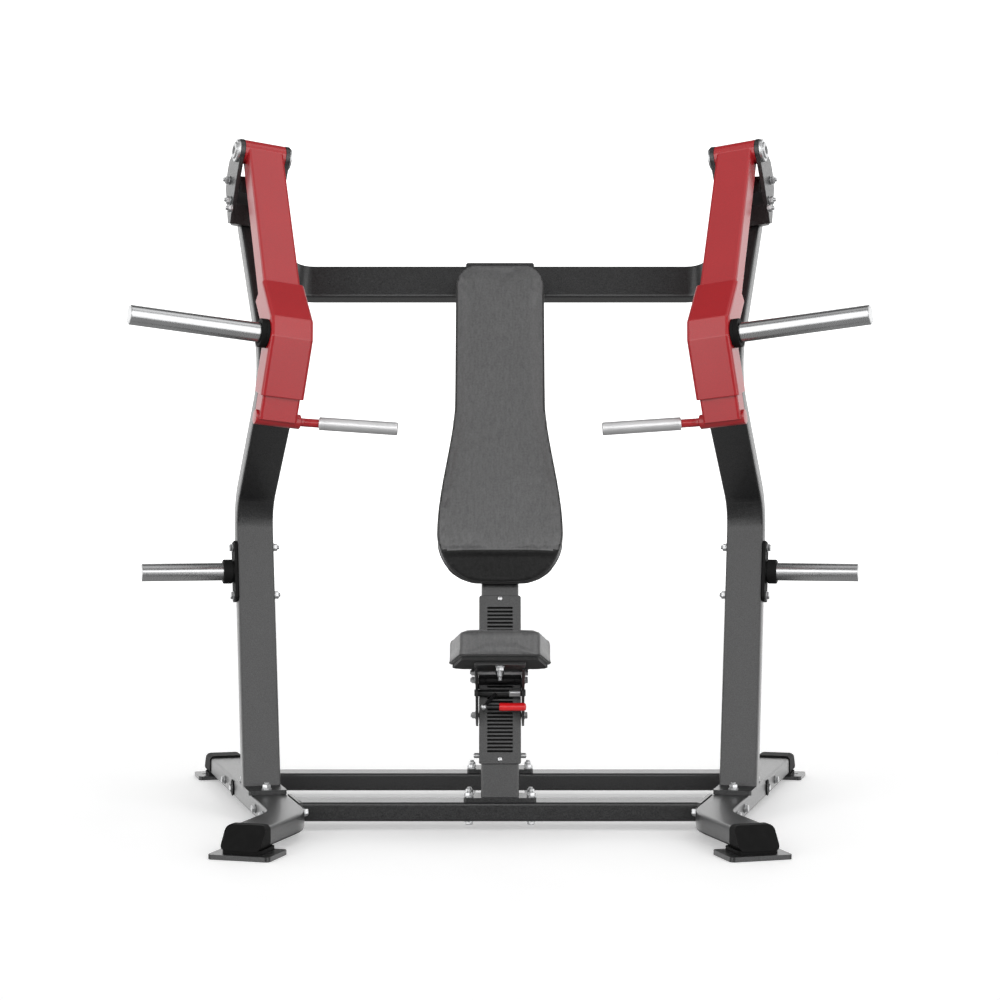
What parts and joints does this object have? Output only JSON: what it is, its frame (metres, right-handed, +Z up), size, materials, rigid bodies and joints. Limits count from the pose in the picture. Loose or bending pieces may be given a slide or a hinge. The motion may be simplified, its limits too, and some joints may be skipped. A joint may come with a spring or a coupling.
{
  "type": "chest press machine",
  "caption": "Plate-loaded chest press: angled steel frame, swinging press arms with plate pegs and hand grips, reclined back pad and height-adjustable seat.",
  "frame": {"origin": "on the floor, under the centre of the machine's bounding box", "axes": "+Z up, -Y is the side the user faces and steps in from, +X to the right seen from the front"},
  "size_m": [1.9912, 1.524, 1.8598],
  "materials": {
    "frame_paint": "charcoal textured powder coat, semi-gloss",
    "red_paint": "red gloss powder coat",
    "chrome": "bright chrome",
    "grip_metal": "satin",
    "black_rubber": "matte black",
    "black_plastic": "matte black",
    "upholstery": "dark grey grained vinyl",
    "board": "black plywood backing board",
    "zinc_steel": "zinc plated",
    "red_plastic": "red dipped vinyl"
  },
  "bodies": {
    "frame": {"left_base_rail": "frame_paint", "left_front_foot": "black_rubber", "left_rear_foot": "black_rubber", "left_front_floor_plate": "frame_paint", "left_rear_floor_plate": "frame_paint", "left_upright": "frame_paint", "left_yoke_outer_plate": "frame_paint", "left_yoke_inner_plate": "frame_paint", "left_yoke_saddle": "frame_paint", "left_pivot_shaft": "zinc_steel", "left_stop_bracket": "frame_paint", "left_stop_pad": "black_rubber", "left_storage_mount": "frame_paint", "left_storage_peg": "chrome", "right_base_rail": "frame_paint", "right_front_foot": "black_rubber", "right_rear_foot": "black_rubber", "right_front_floor_plate": "frame_paint", "right_rear_floor_plate": "frame_paint", "right_upright": "frame_paint", "right_yoke_outer_plate": "frame_paint", "right_yoke_inner_plate": "frame_paint", "right_yoke_saddle": "frame_paint", "right_pivot_shaft": "zinc_steel", "right_stop_bracket": "frame_paint", "right_stop_pad": "black_rubber", "right_storage_mount": "frame_paint", "right_storage_peg": "chrome", "front_crossbar": "frame_paint", "rear_crossbar": "frame_paint", "upper_crossbar": "frame_paint", "centre_post": "frame_paint", "rear_brace": "frame_paint", "seat_rack": "frame_paint", "seat_stop_pin": "zinc_steel", "back_pad_bracket": "frame_paint", "back_pad_board": "board", "back_pad": "upholstery"},
    "left_arm": {"left_press_arm": "red_paint", "left_arm_elbow": "red_paint", "left_weight_peg": "chrome", "left_weight_peg_collar": "black_rubber", "left_handle_bar": "red_paint", "left_hand_grip": "grip_metal"},
    "right_arm": {"right_press_arm": "red_paint", "right_arm_elbow": "red_paint", "right_weight_peg": "chrome", "right_weight_peg_collar": "black_rubber", "right_handle_bar": "red_paint", "right_hand_grip": "grip_metal"},
    "seat": {"seat_carriage": "frame_paint", "seat_board": "board", "seat_pad": "upholstery"},
    "front_roller": {"front_guide_roller": "black_plastic"},
    "rear_roller": {"rear_guide_roller": "black_plastic"},
    "latch": {"seat_latch": "zinc_steel", "latch_grip": "red_plastic"}
  },
  "joints": [
    {"name": "left_arm_swing", "type": "hinge", "parent": "frame", "child": "left_arm", "pos_m": [-0.654, -0.053, 1.819], "axis": [-0.9153, -0.39, 0.1003], "range_deg": [0, 50]},
    {"name": "right_arm_swing", "type": "hinge", "parent": "frame", "child": "right_arm", "pos_m": [0.654, -0.053, 1.819], "axis": [-0.9153, 0.39, -0.1003], "range_deg": [0, 50]},
    {"name": "seat_height", "type": "slide", "parent": "frame", "child": "seat", "axis": [0, 0.165, 0.9863], "range_m": [-0.07, 0.12]},
    {"name": "front_roller_spin", "type": "hinge", "parent": "seat", "child": "front_roller", "pos_m": [0, -0.26728, 0.39168], "axis": [1, 0, 0], "continuous": true},
    {"name": "rear_roller_spin", "type": "hinge", "parent": "seat", "child": "rear_roller", "pos_m": [0, -0.19771, 0.2906], "axis": [1, 0, 0], "continuous": true},
    {"name": "latch_release", "type": "hinge", "parent": "seat", "child": "latch", "pos_m": [0, -0.29385, 0.36015], "axis": [1, 0, 0], "range_deg": [-12, 0], "stiffness_Nm_per_rad": 1, "springref_deg": 20.05}
  ]
}
